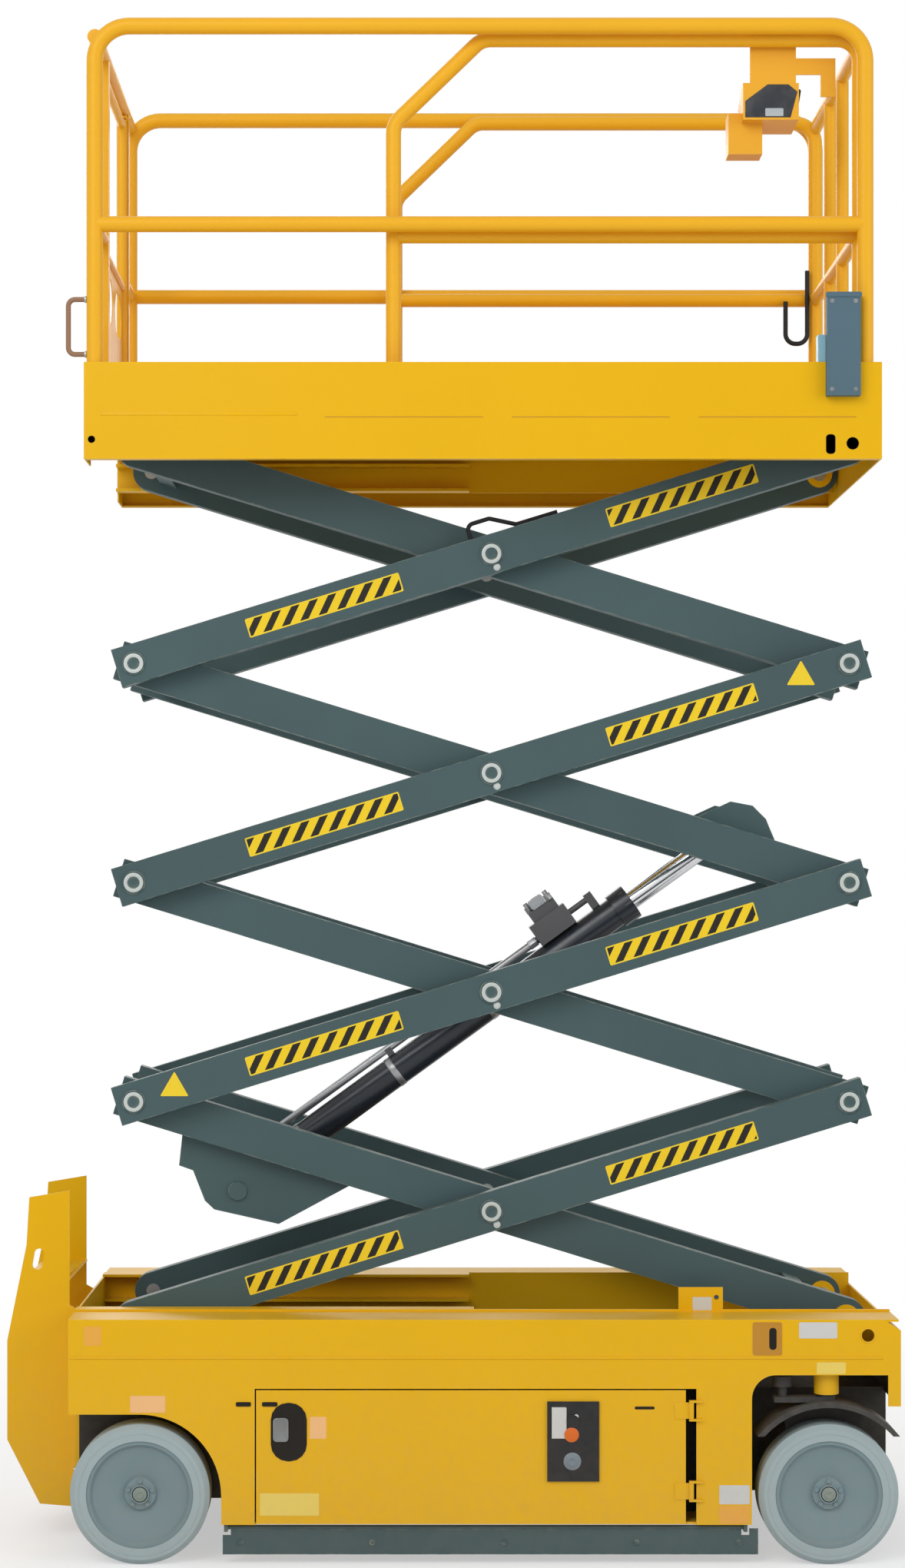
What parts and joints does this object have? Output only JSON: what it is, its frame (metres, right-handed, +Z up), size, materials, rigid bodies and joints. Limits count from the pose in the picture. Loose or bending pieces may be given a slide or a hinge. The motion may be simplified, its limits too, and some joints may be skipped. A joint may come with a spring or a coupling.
{
  "type": "scissor lift",
  "caption": "Self-propelled scissor lift on rolling wheels with crossed arms, a lift cylinder, a railed platform, a roll-out extension and an entry ladder.",
  "frame": {"origin": "on the floor, below the middle of the overall length and width at the stored, raised pose", "axes": "+X to the front, the steered end; +Y to the left side; +Z up"},
  "size_m": [2.477, 1.15, 4.2205],
  "materials": {
    "yellow_paint": "gloss",
    "rail_paint": "gloss",
    "arm_paint": "satin",
    "pin_steel": "satin",
    "dark_paint": "satin",
    "guard_paint": "satin",
    "rod_chrome": "polished",
    "valve_metal": "satin",
    "handle_paint": "satin",
    "tyre_rubber": "matte",
    "rim_paint": "satin",
    "black_plastic": "matte",
    "hose_rubber": "matte",
    "power_paint": "satin",
    "control_paint": "gloss",
    "box_plastic": "matte",
    "outlet_plastic": "gloss"
  },
  "bodies": {
    "chassis": {"chassis_frame": "yellow_paint", "entry_ladder": "yellow_paint", "battery_pack": "black_plastic", "power_unit": "power_paint", "base_pins": "pin_steel", "rear_axle": "dark_paint"},
    "inner_1": {"inner_arms_1": "arm_paint", "cylinder_shaft": "pin_steel"},
    "outer_1": {"outer_arms_1": "arm_paint", "pins_1": "pin_steel", "lower_rollers": "pin_steel"},
    "inner_2": {"inner_arms_2": "arm_paint"},
    "outer_2": {"outer_arms_2": "arm_paint", "pins_2": "pin_steel"},
    "inner_3": {"inner_arms_3": "arm_paint"},
    "outer_3": {"outer_arms_3": "arm_paint", "pins_3": "pin_steel"},
    "inner_4": {"inner_arms_4": "arm_paint", "upper_rollers": "pin_steel"},
    "outer_4": {"outer_arms_4": "arm_paint", "pins_4": "pin_steel", "arm_hose": "hose_rubber"},
    "barrel": {"cylinder_barrel": "dark_paint", "valve_block": "valve_metal"},
    "rod": {"cylinder_rod": "rod_chrome"},
    "platform": {"deck": "yellow_paint", "guard_rails": "rail_paint", "grab_handle": "handle_paint", "document_box": "box_plastic", "outlet_box": "outlet_plastic"},
    "extension": {"extension_deck": "yellow_paint", "extension_rails": "rail_paint", "control_box": "control_paint", "control_cable": "hose_rubber"},
    "gate": {"entry_gate": "rail_paint"},
    "knuckle_left": {"knuckle_left": "dark_paint"},
    "knuckle_right": {"knuckle_right": "dark_paint"},
    "tie_rod": {"tie_rod": "dark_paint"},
    "wheel_rear_left": {"tyre_rear_left": "tyre_rubber", "rim_rear_left": "rim_paint"},
    "wheel_rear_right": {"tyre_rear_right": "tyre_rubber", "rim_rear_right": "rim_paint"},
    "wheel_front_left": {"tyre_front_left": "tyre_rubber", "rim_front_left": "rim_paint"},
    "wheel_front_right": {"tyre_front_right": "tyre_rubber", "rim_front_right": "rim_paint"},
    "door_left": {"door_left": "yellow_paint"},
    "door_right": {"door_right": "yellow_paint", "ground_control_box": "black_plastic"},
    "guard_left": {"guard_left": "guard_paint"},
    "guard_right": {"guard_right": "guard_paint"}
  },
  "joints": [
    {"name": "lift", "type": "hinge", "parent": "chassis", "child": "inner_1", "pos_m": [1.129, 0, 0.632], "axis": [0, 1, 0], "range_deg": [-13.5, 39]},
    {"name": "cross_1", "type": "hinge", "parent": "inner_1", "child": "outer_1", "pos_m": [0.12977, 0, 0.93788], "axis": [0, 1, 0], "range_deg": [-78.2, 27.2]},
    {"name": "side_1", "type": "hinge", "parent": "outer_1", "child": "inner_2", "pos_m": [1.129, 0, 1.24375], "axis": [0, 1, 0], "range_deg": [-27.2, 78.2]},
    {"name": "cross_2", "type": "hinge", "parent": "inner_2", "child": "outer_2", "pos_m": [0.12977, 0, 1.54963], "axis": [0, 1, 0], "range_deg": [-78.2, 27.2]},
    {"name": "side_2", "type": "hinge", "parent": "outer_2", "child": "inner_3", "pos_m": [1.129, 0, 1.8555], "axis": [0, 1, 0], "range_deg": [-27.2, 78.2]},
    {"name": "cross_3", "type": "hinge", "parent": "inner_3", "child": "outer_3", "pos_m": [0.12977, 0, 2.16138], "axis": [0, 1, 0], "range_deg": [-78.2, 27.2]},
    {"name": "side_3", "type": "hinge", "parent": "outer_3", "child": "inner_4", "pos_m": [1.129, 0, 2.46725], "axis": [0, 1, 0], "range_deg": [-27.2, 78.2]},
    {"name": "cross_4", "type": "hinge", "parent": "inner_4", "child": "outer_4", "pos_m": [0.12977, 0, 2.77312], "axis": [0, 1, 0], "range_deg": [-78.2, 27.2]},
    {"name": "deck_pivot", "type": "hinge", "parent": "outer_4", "child": "platform", "pos_m": [1.129, 0, 3.079], "axis": [0, 1, 0], "range_deg": [-13.7, 39.2]},
    {"name": "barrel_swing", "type": "hinge", "parent": "inner_1", "child": "barrel", "pos_m": [-0.58596, 0, 0.98441], "axis": [0, 1, 0], "range_deg": [-76.25, 26.52]},
    {"name": "rod_slide", "type": "slide", "parent": "barrel", "child": "rod", "axis": [0.8097, 0, 0.5869], "range_m": [-0.309, 0.8906]},
    {"name": "extension_slide", "type": "slide", "parent": "platform", "child": "extension", "axis": [1, 0, 0], "range_m": [0, 0.9]},
    {"name": "gate_swing", "type": "hinge", "parent": "platform", "child": "gate", "pos_m": [-0.96, 0.254, 3.5], "axis": [0, 0, 1], "range_deg": [0, 90]},
    {"name": "steer", "type": "hinge", "parent": "chassis", "child": "knuckle_right", "pos_m": [1.043, -0.507, 0.5], "axis": [0, 0, 1], "range_deg": [-60, 60]},
    {"name": "steer_left", "type": "hinge", "parent": "chassis", "child": "knuckle_left", "pos_m": [1.043, 0.507, 0.5], "axis": [0, 0, 1], "range_deg": [-60.5, 60.5]},
    {"name": "tie_rod_pivot", "type": "hinge", "parent": "knuckle_right", "child": "tie_rod", "pos_m": [0.923, -0.507, 0.492], "axis": [0, 0, 1], "range_deg": [-60.5, 60.5]},
    {"name": "spin_rear_left", "type": "hinge", "parent": "chassis", "child": "wheel_rear_left", "pos_m": [-0.833, 0.507, 0.1905], "axis": [0, 1, 0], "continuous": true},
    {"name": "spin_rear_right", "type": "hinge", "parent": "chassis", "child": "wheel_rear_right", "pos_m": [-0.833, -0.507, 0.1905], "axis": [0, 1, 0], "continuous": true},
    {"name": "spin_front_left", "type": "hinge", "parent": "knuckle_left", "child": "wheel_front_left", "pos_m": [1.043, 0.507, 0.1905], "axis": [0, 1, 0], "continuous": true},
    {"name": "spin_front_right", "type": "hinge", "parent": "knuckle_right", "child": "wheel_front_right", "pos_m": [1.043, -0.507, 0.1905], "axis": [0, 1, 0], "continuous": true},
    {"name": "door_swing_right", "type": "hinge", "parent": "chassis", "child": "door_right", "pos_m": [0.668, -0.568, 0.3], "axis": [0, 0, 1], "range_deg": [0, 110]},
    {"name": "door_swing_left", "type": "hinge", "parent": "chassis", "child": "door_left", "pos_m": [0.668, 0.568, 0.3], "axis": [0, 0, -1], "range_deg": [0, 110]},
    {"name": "guard_swing_right", "type": "hinge", "parent": "chassis", "child": "guard_right", "pos_m": [0.122, -0.545, 0.099], "axis": [1, 0, 0], "range_deg": [0, 65]},
    {"name": "guard_swing_left", "type": "hinge", "parent": "chassis", "child": "guard_left", "pos_m": [0.122, 0.545, 0.099], "axis": [-1, 0, 0], "range_deg": [0, 65]}
  ],
  "couplings": [
    {"joint": "cross_1", "follows": "lift", "ratio": -2},
    {"joint": "side_1", "follows": "lift", "ratio": 2},
    {"joint": "cross_2", "follows": "lift", "ratio": -2},
    {"joint": "side_2", "follows": "lift", "ratio": 2},
    {"joint": "cross_3", "follows": "lift", "ratio": -2},
    {"joint": "side_3", "follows": "lift", "ratio": 2},
    {"joint": "cross_4", "follows": "lift", "ratio": -2},
    {"joint": "deck_pivot", "follows": "lift", "ratio": 1},
    {"joint": "barrel_swing", "follows": "lift", "ratio": -1.95},
    {"joint": "rod_slide", "follows": "lift", "m_per_rad": 1.307},
    {"joint": "steer_left", "follows": "steer", "ratio": 1},
    {"joint": "tie_rod_pivot", "follows": "steer", "ratio": -1}
  ]
}
